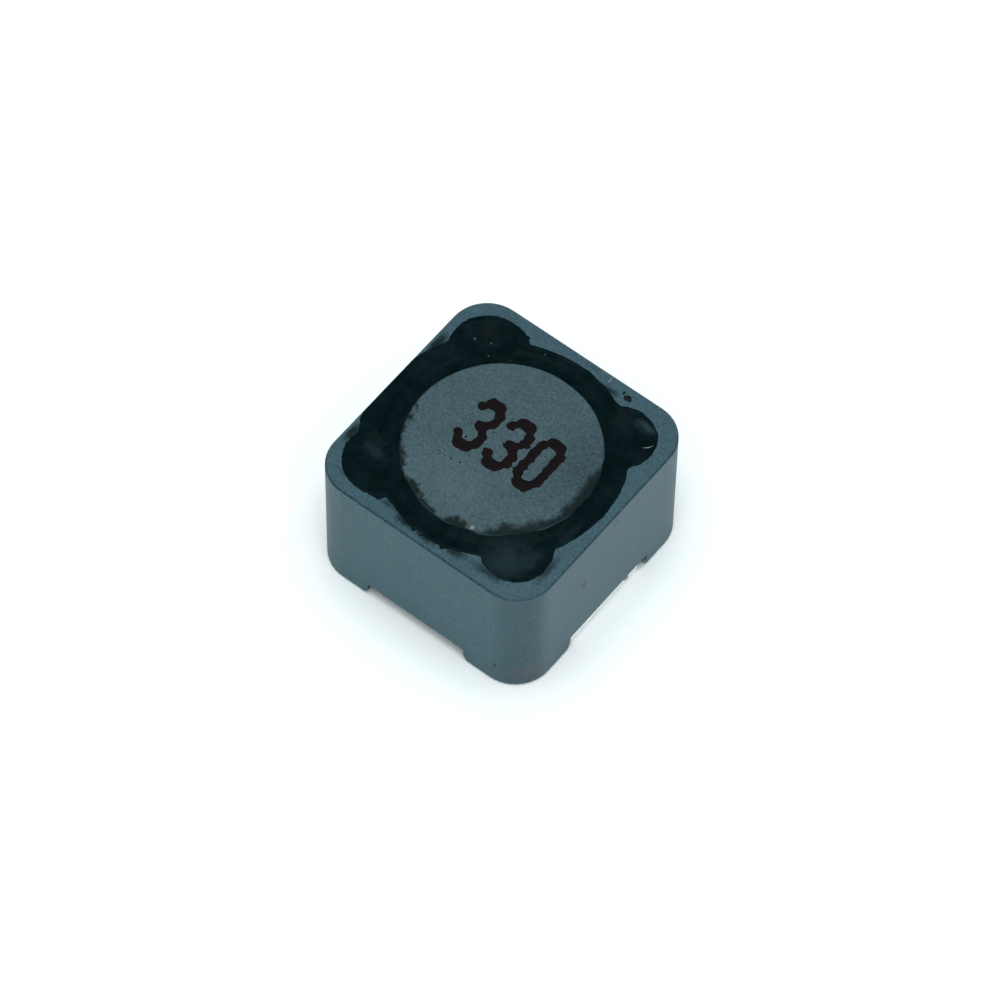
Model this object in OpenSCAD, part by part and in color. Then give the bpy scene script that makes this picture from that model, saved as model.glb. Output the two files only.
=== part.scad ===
// Shielded power inductor for surface mounting: a wound ferrite drum potted into a
// square ferrite ring, with two folded terminals bonded under the ring.
// Millimetres, +Z up, origin on the solder plane under the middle of the body.
// The two terminals face +X and -X, and Y is the other side of the square.

/* [Body] */
// Width of the body across the terminals
body_w = 12; // [11.6:0.05:12.5]
// Depth of the body across the plain sides
body_d = 12.15; // [11.6:0.05:12.5]
// Height from the solder plane to the top of the drum
body_h = 7.25; // [6:0.05:8]
// How far the drum stands above the top of the ring
drum_proud = 0.05; // [0.03:0.01:0.15]
// Height of the ring's feet above the solder plane
foot_clear = 0.05; // [0.04:0.01:0.1]

/* [Shield ring] */
// Radius of the four upright outer corners
corner_r = 1.85; // [1.5:0.05:2.4]
// Radius of the round bore
bore_r = 5.45; // [5.2:0.05:5.5]
// Radius of the corner pockets that open into the bore
pocket_r = 1.46; // [1.2:0.02:1.6]
// Distance of each pocket's axis from the middle, along the diagonal
pocket_reach = 5.25; // [5.1:0.05:5.4]
// Rounding of the ridge between the bore and a pocket
ridge_r = 0.3; // [0.2:0.05:0.45]
// Chamfer round both mouths of the bore
mouth_chamfer = 0.12; // [0.05:0.01:0.15]
// Edge break round the top and the feet
edge_break = 0.08; // [0.04:0.01:0.15]
// Width of the passage between two feet, under its roof
passage_w = 5.35; // [5.1:0.05:5.6]
// Height of that passage above the feet
passage_h = 0.8; // [0.72:0.02:1]
// Rounding of the feet toward the passage
foot_r = 0.5; // [0.2:0.05:0.6]

/* [Drum core] */
// Radius of both flanges
flange_r = 4.5; // [4.4:0.05:4.7]
// Radius of the post that carries the winding
post_r = 2.6; // [2.2:0.05:2.8]
// Thickness of the upper flange
flange_top_t = 1.35; // [1:0.05:1.5]
// Thickness of the lower flange
flange_low_t = 1.25; // [0.9:0.05:1.3]
// Height of the drum's underside above the solder plane
drum_lift = 0.95; // [0.85:0.01:1.1]
// Chamfer round each flange
flange_chamfer = 0.07; // [0.04:0.01:0.12]

/* [Winding] */
// Diameter of the wire over its enamel
wire_d = 0.45; // [0.35:0.01:0.46]
// Turns side by side in one layer
turns_per_layer = 8; // [7:1:8]
// Layers of wire on the post
layers = 4; // [3:1:4]
// Inside bend radius of each lead, to the middle of the wire
bend_r = 0.5; // [0.35:0.05:0.55]

/* [Terminals] */
// Width of a terminal along the side of the body
terminal_w = 4.8; // [4.4:0.1:5]
// Length of the solder pad, from its outer fold inward
pad_len = 2.1; // [1.9:0.05:2.4]
// Length of the upper leaf that is bonded under the ring
leaf_len = 1.9; // [1.8:0.05:2]
// Thickness of the strip
strip_t = 0.13; // [0.1:0.01:0.13]
// Inside radius of the two folds of the strip
fold_r = 0.07; // [0.05:0.01:0.12]
// Distance of the outer fold from the side of the body
terminal_inset = 0.15; // [0.05:0.01:0.2]
// Thickness of the bond between a terminal and the ring
bond_t = 0.04; // [0.03:0.01:0.05]
// How far the wire end reaches past the middle of its terminal
wire_tail = 1.2; // [0.8:0.1:1.6]

/* [Potting] */
// Depth of the potting between drum and ring
potting_depth = 1.5; // [1.2:0.1:1.8]
// How far the potting sags between drum and ring
sag_gap = 0.2; // [0.1:0.02:0.25]
// How far the potting sags in the corner pockets
sag_pocket = 0.38; // [0.2:0.02:0.5]
// Thickness of the potting that ran over the -X side of the ring
smear_t = 0.03; // [0.02:0.01:0.04]
// How far that smear runs out from the bore, and half as far from the pockets
smear_w = 0.64; // [0.4:0.02:0.8]
// Distance of the smear's rim from the side of the body
smear_margin = 0.05; // [0.03:0.01:0.3]

/* [Hidden] */
$fn = 96;
// Overlap of cutting solids past the faces they cut
eps = 0.05;

// Levels, upward from the solder plane
ring_top = body_h - drum_proud;
ring_h = ring_top - foot_clear;
roof_z = foot_clear + passage_h;
window_z = drum_lift + flange_low_t;
window_h = body_h - flange_top_t - window_z;

// Turns of the winding
wire_r = wire_d / 2;
pitch = (window_h - wire_d) / (turns_per_layer - 1);
layer_step = sqrt(max(wire_d * wire_d - pitch * pitch / 4, wire_r * wire_r));
outer_turn_r = post_r + wire_r + (layers - 1) * layer_step;

// Terminals, measured at the +X one
fold_x = body_w / 2 - terminal_inset;
clip_h = roof_z - bond_t;
wire_z = clip_h / 2;

// Route of a lead: where it stands upright in its pocket, and the height at which it leaves the coil
lead_x = 4.35;
lead_y = outer_turn_r - 0.8 * wire_d;
lead_z = window_z + wire_r + 1.5 * pitch;

// Length of the solder along the wire, and how far it lies toward the end of the wire
solder_len = terminal_w - 0.8;
solder_shift = 0.3;

// Places of the pockets and of the ridge roundings beside each of them
function pocket_axis(i) = pocket_reach * [cos(45 + 90 * i), sin(45 + 90 * i)];
// Angle at the middle between a pocket's axis and the centre of a ridge rounding
ridge_turn = acos(
    (pow(bore_r + ridge_r, 2) + pow(pocket_reach, 2) - pow(pocket_r + ridge_r, 2))
    / (2 * (bore_r + ridge_r) * pocket_reach)
);
function ridge_axis(i, side) =
    (bore_r + ridge_r) * [cos(45 + 90 * i + side * ridge_turn), sin(45 + 90 * i + side * ridge_turn)];

// Radius of a circle through both ends of a chord that sags by the given depth
function sag_radius(chord, sag) = (chord * chord / 4 + sag * sag) / (2 * sag);

// Solid of the lobed bore: its outline grows by grow_low at the bottom and grow_top at the top
module lobed_bore(z, h, grow_low, grow_top) {
    translate([0, 0, z]) {
        cylinder(h = h, r1 = bore_r + grow_low, r2 = bore_r + grow_top);
        for (i = [0:3]) {
            translate(pocket_axis(i))
                cylinder(h = h, r1 = pocket_r + grow_low, r2 = pocket_r + grow_top);
            for (side = [-1, 1])
                ridge_relief(i, side, h, grow_low, grow_top);
        }
    }
}

// What rounding a ridge adds to the bore: the wedge up to the rounding's centre, less the rounding
module ridge_relief(i, side, h, grow_low, grow_top) {
    difference() {
        linear_extrude(height = h)
            polygon([[0, 0], ridge_axis(i, side), pocket_axis(i)]);
        translate([0, 0, -eps])
            translate(ridge_axis(i, side))
                cylinder(
                    h = h + 2 * eps,
                    r1 = ridge_r - grow_low + eps * (grow_top - grow_low) / h,
                    r2 = ridge_r - grow_top - eps * (grow_top - grow_low) / h
                );
    }
}

// Square block with round upright corners and an edge break top and bottom
module outer_block() {
    straight_w = body_w - 2 * corner_r;
    straight_d = body_d - 2 * corner_r;
    translate([0, straight_d / 2, foot_clear])
        rotate([90, 0, 0])
            linear_extrude(height = straight_d)
                broken_side(body_w);
    translate([-straight_w / 2, 0, foot_clear])
        rotate([90, 0, 90])
            linear_extrude(height = straight_w)
                broken_side(body_d);
    for (x = [-1, 1], y = [-1, 1])
        translate([x * straight_w / 2, y * straight_d / 2, foot_clear])
            rotate_extrude()
                intersection() {
                    broken_side(2 * corner_r);
                    square([corner_r, ring_h]);
                }
}

// Side outline of the block at the given width, with its four edges broken
module broken_side(w) {
    polygon([
        [-w / 2 + edge_break, 0],
        [w / 2 - edge_break, 0],
        [w / 2, edge_break],
        [w / 2, ring_h - edge_break],
        [w / 2 - edge_break, ring_h],
        [-w / 2 + edge_break, ring_h],
        [-w / 2, ring_h - edge_break],
        [-w / 2, edge_break]
    ]);
}

// End view of the passage between two feet, with the feet rounded toward it
module passage_outline() {
    translate([-passage_w / 2, -eps])
        square([passage_w, passage_h + eps]);
    for (side = [0, 1])
        mirror([side, 0])
            difference() {
                translate([passage_w / 2 - eps, -eps])
                    square([foot_r + eps, foot_r + eps]);
                translate([passage_w / 2 + foot_r, foot_r])
                    circle(r = foot_r);
            }
}

// Square ferrite ring with a lobed bore and four feet
module shield_ring() {
    color([0.36, 0.46, 0.50])
        difference() {
            outer_block();
            lobed_bore(0, body_h, 0, 0);
            lobed_bore(ring_top - mouth_chamfer, mouth_chamfer, 0, mouth_chamfer);
            lobed_bore(foot_clear, mouth_chamfer, mouth_chamfer, 0);
            translate([-body_w, 0, foot_clear])
                rotate([90, 0, 90])
                    linear_extrude(height = 2 * body_w)
                        passage_outline();
            translate([0, body_d, foot_clear])
                rotate([90, 0, 0])
                    linear_extrude(height = 2 * body_d)
                        passage_outline();
        }
}

// Ferrite drum: two flanges on a post, turned about the middle
module drum_core() {
    color([0.38, 0.46, 0.48])
        rotate_extrude()
            polygon([
                [0, drum_lift],
                [flange_r - flange_chamfer, drum_lift],
                [flange_r, drum_lift + flange_chamfer],
                [flange_r, window_z],
                [post_r, window_z],
                [post_r, window_z + window_h],
                [flange_r, window_z + window_h],
                [flange_r, body_h - flange_chamfer],
                [flange_r - flange_chamfer, body_h],
                [0, body_h]
            ]);
}

// Coil of wire between the flanges, its outer layer one ring for each turn, with both leads
module winding() {
    color([0.45, 0.22, 0.10]) {
        rotate_extrude()
            union() {
                translate([post_r, window_z])
                    square([outer_turn_r - post_r, window_h]);
                for (i = [0:turns_per_layer - 1])
                    translate([outer_turn_r, window_z + wire_r + i * pitch])
                        circle(r = wire_r, $fn = 12);
            }
        for (turn = [0, 180])
            rotate([0, 0, turn])
                lead();
    }
}

// Lead to the +X terminal: out of the coil along X, down the pocket, and along its terminal
module lead() {
    start_x = 2 * wire_d;
    translate([start_x, lead_y, lead_z])
        rotate([0, 90, 0])
            cylinder(h = lead_x - bend_r - start_x, r = wire_r);
    translate([lead_x - bend_r, lead_y, lead_z - bend_r])
        rotate([90, 0, 0])
            quarter_bend();
    translate([lead_x, lead_y, wire_z + bend_r])
        cylinder(h = lead_z - wire_z - 2 * bend_r, r = wire_r);
    translate([lead_x, lead_y - bend_r, wire_z + bend_r])
        rotate([0, 90, 0])
            quarter_bend();
    translate([lead_x, lead_y - bend_r, wire_z])
        rotate([90, 0, 0])
            cylinder(h = lead_y - bend_r + wire_tail, r = wire_r);
}

// Quarter of a ring of wire, from +X round to +Y
module quarter_bend() {
    rotate_extrude(angle = 90)
        translate([bend_r, 0])
            circle(r = wire_r);
}

// Side view of a terminal: pad, outer fold and bonded leaf in one strip
module terminal_outline() {
    difference() {
        fold_block(0, fold_r + strip_t, pad_len);
        fold_block(strip_t, fold_r, pad_len + eps);
        translate([fold_x - pad_len - eps, clip_h / 2])
            square([pad_len - leaf_len + eps, clip_h]);
    }
}

// Block with two round folds at its +X end, set in from the outside of the strip
module fold_block(inset, r, length) {
    for (z = [inset + r, clip_h - inset - r])
        translate([fold_x - inset - r, z])
            circle(r = r);
    translate([fold_x - inset - r, inset + r])
        square([r, clip_h - 2 * inset - 2 * r]);
    translate([fold_x - length, inset])
        square([length - inset - r, clip_h - 2 * inset]);
}

// Stands a side view up along Y, centred, for the +X end
module along_side(length) {
    translate([0, length / 2, 0])
        rotate([90, 0, 0])
            linear_extrude(height = length)
                children();
}

// Folded strip of tinned copper
module terminal() {
    color([0.85, 0.87, 0.88])
        along_side(terminal_w)
            terminal_outline();
}

// Adhesive between a terminal's leaf and the roof of the passage
module terminal_bond() {
    color([0.10, 0.13, 0.15])
        difference() {
            translate([fold_x - leaf_len, -terminal_w / 2, clip_h])
                cube([leaf_len - fold_r - strip_t, terminal_w, bond_t]);
            lobed_bore(0, body_h, 0, 0);
        }
}

// Solder round the wire end, hollow on both sides where it wets strip and wire
module solder_joint() {
    gap = clip_h - 2 * strip_t;
    half_w = 2 * wire_r;
    color([0.72, 0.74, 0.75])
        difference() {
            translate([0, -solder_shift, 0])
                along_side(solder_len)
                    difference() {
                        translate([lead_x - half_w, strip_t])
                            square([2 * half_w, gap]);
                        for (side = [-1, 1])
                            translate([lead_x + side * (half_w + gap * 0.4), wire_z])
                                circle(r = sag_radius(gap, gap * 0.2));
                    }
            translate([lead_x, lead_y, wire_z])
                rotate([90, 0, 0])
                    cylinder(h = lead_y + wire_tail, r = wire_r);
        }
}

// Black epoxy that fills the top of the bore and its pockets, sagging between its walls
module potting() {
    low = ring_top - potting_depth;
    gap_w = bore_r - flange_r;
    gap_sag_r = sag_radius(gap_w, sag_gap);
    pocket_sag_r = sag_radius(2 * pocket_r, sag_pocket);
    color([0.05, 0.08, 0.09])
        difference() {
            union() {
                lobed_bore(low, potting_depth, 0, 0);
                lobed_bore(ring_top - mouth_chamfer, mouth_chamfer, 0, mouth_chamfer);
                smear();
            }
            translate([0, 0, low - eps])
                cylinder(h = potting_depth + 2 * smear_t + 2 * eps, r = flange_r);
            rotate_extrude()
                translate([flange_r + gap_w / 2, ring_top - sag_gap + gap_sag_r])
                    circle(r = gap_sag_r);
            for (i = [0:3])
                translate(concat(pocket_axis(i), ring_top - sag_pocket + pocket_sag_r))
                    rotate([90, 0, 0])
                        sphere(r = pocket_sag_r);
        }
}

// Thin film of epoxy on the ring's top, round both -X pockets and along the side between them
module smear() {
    half_w = body_w / 2 - smear_margin;
    translate([0, 0, ring_top])
        linear_extrude(height = smear_t)
            intersection() {
                union() {
                    intersection() {
                        circle(r = bore_r + smear_w);
                        translate([-half_w, -body_d / 2])
                            square([half_w - pocket_axis(0)[0], body_d]);
                    }
                    for (i = [1, 2])
                        translate(pocket_axis(i))
                            circle(r = pocket_r + smear_w / 2);
                }
                translate([-half_w, -body_d / 2])
                    square([half_w, body_d]);
            }
}

// Makes the -X one of a pair from the +X one
module turned() {
    rotate([0, 0, 180])
        children();
}

shield_ring();
drum_core();
winding();
turned() terminal();  // terminal_left
terminal();  // terminal_right
turned() terminal_bond();  // terminal_bond_left
terminal_bond();  // terminal_bond_right
turned() solder_joint();  // solder_joint_left
solder_joint();  // solder_joint_right
potting();
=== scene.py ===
# %% [markdown]
# # A shielded power inductor, dressed
# The part is a ferrite drum wound with copper wire, potted with black epoxy into a square
# ferrite ring that keeps its magnetic field in. Two folded strips of tinned copper under the
# ring are what the circuit board gets soldered to. The construction comes ready made, as exact
# solids in real size. This script gives them their skins: the grainy ferrite, the lumpy epoxy,
# the inked value code, the tin and the solder. Everything is in metres, and lengths on the part
# are so small that they are written in millimetres and multiplied by MM.

# %% Load the construction
import math

import bpy
import numpy as np
from mathutils import Matrix, Vector
from mathutils.bvhtree import BVHTree


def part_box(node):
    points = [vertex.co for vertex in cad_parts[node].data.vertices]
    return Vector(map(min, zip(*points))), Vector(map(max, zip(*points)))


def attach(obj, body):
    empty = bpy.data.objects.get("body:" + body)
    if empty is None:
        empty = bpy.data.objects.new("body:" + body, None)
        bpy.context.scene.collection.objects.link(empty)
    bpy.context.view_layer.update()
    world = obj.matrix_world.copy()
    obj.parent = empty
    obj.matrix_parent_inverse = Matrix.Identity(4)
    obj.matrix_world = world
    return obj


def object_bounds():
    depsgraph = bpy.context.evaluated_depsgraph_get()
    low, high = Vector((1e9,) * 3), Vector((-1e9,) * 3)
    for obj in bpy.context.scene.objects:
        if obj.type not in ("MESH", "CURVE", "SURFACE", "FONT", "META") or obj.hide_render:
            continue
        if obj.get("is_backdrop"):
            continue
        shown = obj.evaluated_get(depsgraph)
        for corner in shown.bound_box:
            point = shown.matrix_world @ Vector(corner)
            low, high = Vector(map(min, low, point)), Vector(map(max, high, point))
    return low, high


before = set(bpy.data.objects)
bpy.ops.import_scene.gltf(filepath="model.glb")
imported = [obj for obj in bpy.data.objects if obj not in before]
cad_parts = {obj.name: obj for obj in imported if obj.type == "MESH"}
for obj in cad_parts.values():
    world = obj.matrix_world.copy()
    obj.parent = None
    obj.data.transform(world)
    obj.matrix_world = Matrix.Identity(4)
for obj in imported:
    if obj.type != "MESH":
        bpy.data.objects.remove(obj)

MM = 0.001
cad_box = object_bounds()
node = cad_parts
ring_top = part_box("shield_ring")[1].z / MM
drum_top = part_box("drum_core")[1].z / MM
flange_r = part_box("drum_core")[1].x / MM
body_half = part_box("shield_ring")[1].x / MM
print("pieces in the construction:", sorted(node))
print(f"ring top {ring_top:.2f} mm, drum top {drum_top:.2f} mm, flange radius {flange_r:.2f} mm")

# %% [markdown]
# ## The camera
# The part is seen from above one corner, from far away through a long lens, so its upright
# edges hardly converge. Rather than typing a rotation, the camera is built from what the person
# behind it would say: what it aims at, from which side, how steeply, how far off, and how much
# it leans. The three axes of the camera come from those and fill a matrix.

# %% Camera
AIM = Vector((-0.04, -0.03, 3.01)) * MM
SIDE = math.radians(37.3)
STEEP = math.radians(57.86)
LEAN = math.radians(1.07)
AWAY = 260.4 * MM
LENS = 211.96

look = Vector((
    -math.sin(SIDE) * math.cos(STEEP),
    math.cos(SIDE) * math.cos(STEEP),
    -math.sin(STEEP),
))
right = look.cross(Vector((0, 0, 1))).normalized()
up = right.cross(look)
right, up = (
    math.cos(LEAN) * right + math.sin(LEAN) * up,
    math.cos(LEAN) * up - math.sin(LEAN) * right,
)
camera = bpy.data.objects.new("camera", bpy.data.cameras.new("camera"))
bpy.context.scene.collection.objects.link(camera)
turned = Matrix((right, up, -look)).transposed().to_4x4()
camera.matrix_world = Matrix.Translation(AIM - AWAY * look) @ turned
camera.data.sensor_width = 36
camera.data.lens = LENS
camera.data.clip_start = 0.01
camera.data.clip_end = 10
bpy.context.scene.camera = camera
print("camera stands at", [round(v / MM) for v in camera.location], "mm")

# %% [markdown]
# ## Light
# Small parts are often shown in a tent of white cloth: light from everywhere, so the shadow is
# a wide pale pool that only gets dark right under the body. Three soft lamps add direction:
# one straight above, which darkens the gap under the body, one from the front, high enough
# that its shadow hides behind the part, and a faint low one on the right. Area lamps are
# chosen because their shadows are soft in themselves. A lamp's power spreads over its area and
# its distance, so the helper asks for how brightly it should light a surface that faces it,
# and works out the watts. All light together comes to about 1, the level where a colour shows
# as it is written.

# %% Light
SOFTBOX_SIZE = 0.30
TENT_LIGHT = 0.44


def softbox(name, where, brightness):
    """Square lamp that faces the part; a brightness of 1 would show a colour as it is written."""
    lamp = bpy.data.lights.new(name, "AREA")
    lamp.shape = "SQUARE"
    lamp.size = SOFTBOX_SIZE
    away = Vector(where).length
    lamp.energy = brightness * math.pi * math.pi * away * away
    thing = bpy.data.objects.new(name, lamp)
    thing.location = where
    thing.rotation_euler = (-Vector(where)).to_track_quat("-Z", "Y").to_euler()
    bpy.context.scene.collection.objects.link(thing)
    print(f"{name}: {lamp.energy:.2f} W at {away:.2f} m")


softbox("softbox_above", (0, 0, 0.5), 0.38)
softbox("softbox_front", (0.12, -0.16, 0.46), 0.25)
softbox("softbox_right", (0.42, 0.05, 0.18), 0.04)

world = bpy.data.worlds.new("surround")
bpy.context.scene.world = world
world.use_nodes = True
background = world.node_tree.nodes["Background"]
background.inputs["Color"].default_value = (1, 1, 1, 1)
background.inputs["Strength"].default_value = TENT_LIGHT
bpy.context.scene.view_settings.view_transform = "Standard"

# %% [markdown]
# ## A short way to write materials
# Every finish on the part is a Principled shader fed by a few textures. These helpers keep the node
# trees readable: one makes a node, sets its inputs and plugs in what is handed to it, and the
# others use it for the steps that come back all the time. A value may be a plain number, a
# colour, or the output of another node.

# %% Node helpers
def put(tree, kind, inputs=None, **settings):
    """Adds a node, sets its settings, and sets or links its inputs."""
    made = tree.nodes.new(kind)
    for key, value in settings.items():
        setattr(made, key, value)
    for key, value in (inputs or {}).items():
        if isinstance(value, bpy.types.NodeSocket):
            tree.links.new(value, made.inputs[key])
        else:
            made.inputs[key].default_value = value
    return made


def calc(tree, operation, a, b=0.0):
    """One step of arithmetic on one or two values."""
    return put(tree, "ShaderNodeMath", {0: a, 1: b}, operation=operation).outputs[0]


def vector_calc(tree, operation, a, b=(0, 0, 0)):
    """One step of arithmetic on two vectors or colours."""
    return put(tree, "ShaderNodeVectorMath", {0: a, 1: b}, operation=operation).outputs[0]


def scaled(tree, a, factor):
    """A vector or colour times a number."""
    return put(tree, "ShaderNodeVectorMath", {0: a, "Scale": factor}, operation="SCALE").outputs[0]


def length(tree, a):
    """Length of a vector."""
    return put(tree, "ShaderNodeVectorMath", {0: a}, operation="LENGTH").outputs["Value"]


def blend(tree, amount, a, b):
    """Goes from colour a to colour b by an amount."""
    made = put(tree, "ShaderNodeMix", data_type="RGBA", clamp_factor=True)
    for key, value in ((0, amount), (6, a), (7, b)):
        if isinstance(value, bpy.types.NodeSocket):
            tree.links.new(value, made.inputs[key])
        else:
            made.inputs[key].default_value = (*value, 1) if key else value
    return made.outputs[2]


def steps(tree, value, low, high):
    """Soft step: 0 below low, 1 above high."""
    return put(
        tree, "ShaderNodeMapRange", {"Value": value, "From Min": low, "From Max": high},
        interpolation_type="SMOOTHSTEP",
    ).outputs["Result"]


def fuzz(tree, place, per_mm, detail=2.0, rough=0.5):
    """Cloudy noise with about this many bumps to the millimetre."""
    return put(
        tree, "ShaderNodeTexNoise",
        {"Vector": place, "Scale": per_mm, "Detail": detail, "Roughness": rough},
    ).outputs["Fac"]


def group(name, inputs, outputs):
    """Empty shader node group with named sockets; returns the tree and its two end nodes."""
    tree = bpy.data.node_groups.new(name, "ShaderNodeTree")
    for label, kind, default in inputs:
        socket = tree.interface.new_socket(label, in_out="INPUT", socket_type=kind)
        socket.default_value = default
    for label, kind in outputs:
        tree.interface.new_socket(label, in_out="OUTPUT", socket_type=kind)
    return tree, tree.nodes.new("NodeGroupInput"), tree.nodes.new("NodeGroupOutput")


def use(tree, kind, **inputs):
    """Places a group in a tree and fills its inputs; underscores stand for blanks."""
    made = tree.nodes.new("ShaderNodeGroup")
    made.node_tree = kind
    for key, value in inputs.items():
        socket = made.inputs[key.replace("_", " ")]
        if isinstance(value, bpy.types.NodeSocket):
            tree.links.new(value, socket)
        else:
            socket.default_value = value
    return made


def bumped(tree, height, strength, depth):
    """Normal of a surface that a height stirs, at most this many millimetres deep."""
    inputs = {"Height": height, "Strength": strength, "Distance": depth * MM}
    return put(tree, "ShaderNodeBump", inputs).outputs[0]


def finish(name, **plain):
    """New material with one Principled shader; returns the material, its tree and the shader."""
    material = bpy.data.materials.new(name)
    material.use_nodes = True
    tree = material.node_tree
    shader = tree.nodes["Principled BSDF"]
    for key, value in plain.items():
        shader.inputs[key.replace("_", " ")].default_value = value
    return material, tree, shader


def wire(tree, shader, **links):
    """Plugs outputs into the shader's sockets by name."""
    for key, value in links.items():
        tree.links.new(value, shader.inputs[key.replace("_", " ")])


print("node helpers are ready")

# %% [markdown]
# ## Millimetre coordinates
# The textures need a place on the part to start from. Object coordinates sit still on the
# piece, and are in metres, so this little group turns them into millimetres once for all:
# a noise scale of 10 then means ten bumps to the millimetre.

# %% Group: place on the part
place_group, entry, leave = group("place_in_mm", [], [("Place", "NodeSocketVector")])
spot = put(place_group, "ShaderNodeTexCoord").outputs["Object"]
place_group.links.new(scaled(place_group, spot, 1 / MM), leave.inputs["Place"])
print("group:", place_group.name)

# %% [markdown]
# ## Ferrite grain
# Sintered ferrite is a dark ceramic. Close to, it is a mosaic of grains a few hundredths of a
# millimetre across, each a little lighter or darker than its neighbour, with broader clouds
# where the powder was pressed unevenly. Ring and drum are the same stuff, so one group makes
# the grain. The clouds multiply the base colour, which keeps its hue. The grains are added as a
# nearly neutral grey, because what varies from grain to grain is how much white light they
# scatter, not their colour.

# %% Group: ferrite grain
grain_group, entry, leave = group(
    "ferrite_grain",
    [
        ("Place", "NodeSocketVector", (0, 0, 0)),
        ("Base", "NodeSocketColor", (0.02, 0.07, 0.09, 1)),
        ("Speckle", "NodeSocketFloat", 0.1),
        ("Clouds", "NodeSocketFloat", 0.5),
    ],
    [("Color", "NodeSocketColor"), ("Height", "NodeSocketFloat"), ("Mask", "NodeSocketFloat")],
)
GRAINS_PER_MM = 9.0
CLOUDS_PER_MM = 1.0
NEARLY_GREY = (0.75, 1.0, 1.05)
grain = fuzz(grain_group, entry.outputs["Place"], GRAINS_PER_MM, 1.0, 0.7)
cloud = fuzz(grain_group, entry.outputs["Place"], CLOUDS_PER_MM, 3.0, 0.6)
speck = calc(grain_group, "SUBTRACT", grain, 0.5)
speck = calc(grain_group, "MULTIPLY", speck, entry.outputs["Speckle"])
drift = calc(grain_group, "SUBTRACT", cloud, 0.5)
drift = calc(grain_group, "MULTIPLY", drift, entry.outputs["Clouds"])
clouded = scaled(grain_group, entry.outputs["Base"], calc(grain_group, "ADD", drift, 1.0))
dots = scaled(grain_group, NEARLY_GREY, speck)
dotted = vector_calc(grain_group, "ADD", clouded, dots)
shaded = vector_calc(grain_group, "MAXIMUM", dotted, (0.001, 0.001, 0.001))
grain_group.links.new(shaded, leave.inputs["Color"])
grain_group.links.new(grain, leave.inputs["Height"])
grain_group.links.new(cloud, leave.inputs["Mask"])
print("group:", grain_group.name)

# %% [markdown]
# ## Soft spots
# Hands, glue and the packing tray leave marks in particular places: a smear of epoxy on the
# rim, a pale chip, a brown stain. Each is one soft spot with a ragged border: the distance from
# its middle, stirred with a little noise, then cut off softly. The same group serves them all,
# and a loop lays any number of spots over a colour.

# %% Group: soft spot
spot_group, entry, leave = group(
    "soft_spot",
    [
        ("Place", "NodeSocketVector", (0, 0, 0)),
        ("Middle", "NodeSocketVector", (0, 0, 0)),
        ("Stretch", "NodeSocketVector", (1, 1, 1)),
        ("Ragged", "NodeSocketFloat", 0.5),
        ("Softness", "NodeSocketFloat", 0.6),
    ],
    [("Mask", "NodeSocketFloat")],
)
gap = vector_calc(spot_group, "SUBTRACT", entry.outputs["Place"], entry.outputs["Middle"])
far = length(spot_group, vector_calc(spot_group, "DIVIDE", gap, entry.outputs["Stretch"]))
stir = calc(spot_group, "SUBTRACT", fuzz(spot_group, entry.outputs["Place"], 3.0, 4.0, 0.65), 0.5)
stir = calc(spot_group, "MULTIPLY", stir, 3.0)
far = calc(spot_group, "ADD", far, calc(spot_group, "MULTIPLY", stir, entry.outputs["Ragged"]))
solid = calc(spot_group, "SUBTRACT", 1.0, entry.outputs["Softness"])
edge = put(
    spot_group, "ShaderNodeMapRange",
    {"Value": far, "From Min": solid, "From Max": 1.0, "To Min": 1.0, "To Max": 0.0},
    interpolation_type="SMOOTHSTEP",
).outputs["Result"]
spot_group.links.new(edge, leave.inputs["Mask"])
print("group:", spot_group.name)


def spotted(tree, place, colour, spots):
    """Lays spots over a colour; each is (middle, reach, tint, strength, ragged, softness)."""
    for middle, reach, tint, strength, ragged, softness in spots:
        spot = use(
            tree, spot_group,
            Place=place, Middle=middle, Stretch=reach, Ragged=ragged, Softness=softness,
        )
        cover = calc(tree, "MULTIPLY", spot.outputs["Mask"], strength)
        colour = blend(tree, cover, colour, tint)
    return colour


# %% [markdown]
# ## Bands along a round edge
# Epoxy crept over the drum's rim in some directions and not in others. Such a band is easy to
# say in polar terms: how far from the axis, and how nearly in a given direction. The band
# starts at its start radius straight in that direction, and further and further out to both
# sides, until it has left the rim.

# %% Group: edge band
band_group, entry, leave = group(
    "edge_band",
    [
        ("Place", "NodeSocketVector", (0, 0, 0)),
        ("Toward", "NodeSocketVector", (1, 0, 0)),
        ("Spread", "NodeSocketFloat", 0.8),
        ("Start", "NodeSocketFloat", 4.0),
        ("Ragged", "NodeSocketFloat", 0.3),
        ("Soft", "NodeSocketFloat", 0.3),
    ],
    [("Mask", "NodeSocketFloat")],
)
flat = vector_calc(band_group, "MULTIPLY", entry.outputs["Place"], (1, 1, 0))
radius = length(band_group, flat)
aimed = put(
    band_group, "ShaderNodeVectorMath",
    {0: vector_calc(band_group, "NORMALIZE", flat), 1: entry.outputs["Toward"]},
    operation="DOT_PRODUCT",
).outputs["Value"]
near = steps(band_group, aimed, entry.outputs["Spread"], 1.0)
stir = calc(band_group, "SUBTRACT", fuzz(band_group, entry.outputs["Place"], 2.2, 5.0, 0.65), 0.5)
stir = calc(band_group, "MULTIPLY", stir, 4.0)
start = calc(band_group, "ADD", entry.outputs["Start"], calc(band_group, "SUBTRACT", 1.0, near))
start = calc(band_group, "ADD", start, calc(band_group, "MULTIPLY", stir, entry.outputs["Ragged"]))
full = calc(band_group, "ADD", start, entry.outputs["Soft"])
band_group.links.new(steps(band_group, radius, start, full), leave.inputs["Mask"])
print("group:", band_group.name)


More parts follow.
